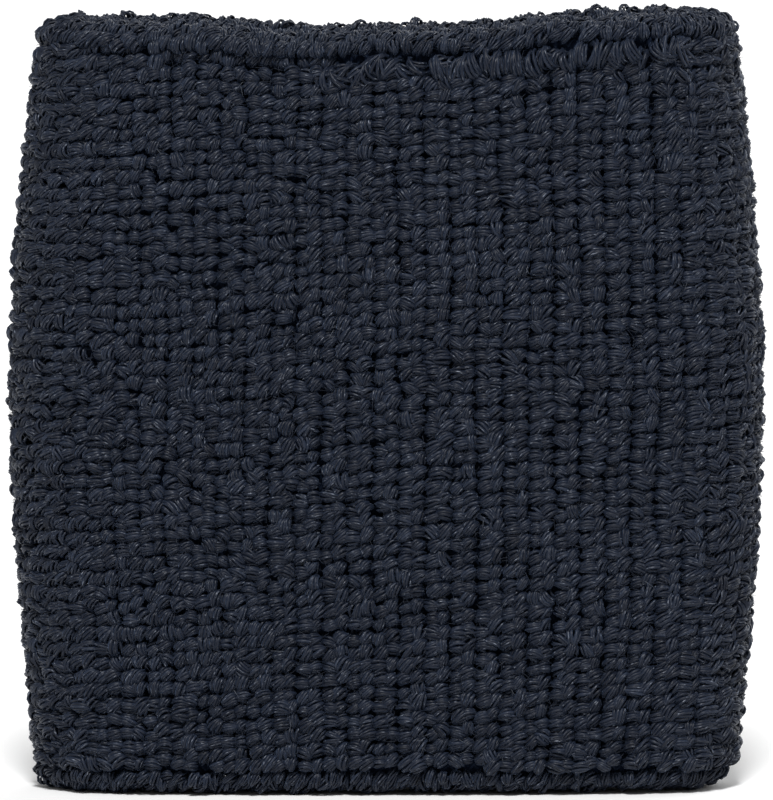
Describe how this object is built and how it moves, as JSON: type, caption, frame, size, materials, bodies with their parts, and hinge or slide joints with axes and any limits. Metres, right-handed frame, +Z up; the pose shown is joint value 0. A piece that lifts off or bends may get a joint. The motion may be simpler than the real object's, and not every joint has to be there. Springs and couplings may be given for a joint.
{
  "type": "sweat wristband",
  "caption": "Folded double-layer terry sweat wristband with looped pile, rolled rims and elastic yarn inside the wall.",
  "frame": {"origin": "middle of the band's foot, where the lower rim stands on a surface", "axes": "+Z up along the wrist passage, X along the flat width, -Y out of the front face"},
  "size_m": [0.078, 0.0248, 0.08],
  "materials": {
    "pile_yarn": "dark navy-charcoal cotton terry loops, matt with faint yarn highlights",
    "ground_yarn": "near-black fine jersey knit, matt",
    "seam_thread": "dark twisted polyester thread, slight sheen",
    "elastic_core": "pale rubber core under a sparse covering yarn"
  },
  "bodies": {
    "root": {"outer_pile": "pile_yarn", "inner_pile": "pile_yarn", "lower_rim_pile": "pile_yarn", "upper_rim_pile": "pile_yarn", "lower_groove_courses": "ground_yarn", "upper_groove_courses": "ground_yarn", "outer_ground_knit": "ground_yarn", "inner_ground_knit": "ground_yarn", "lower_fold_knit": "ground_yarn", "upper_fold_knit": "ground_yarn", "closing_seam_raw_edges": "ground_yarn", "closing_seam_needle_thread": "seam_thread", "closing_seam_looper_thread": "seam_thread", "outer_elastic_yarn": "elastic_core", "inner_elastic_yarn": "elastic_core"}
  },
  "joints": []
}
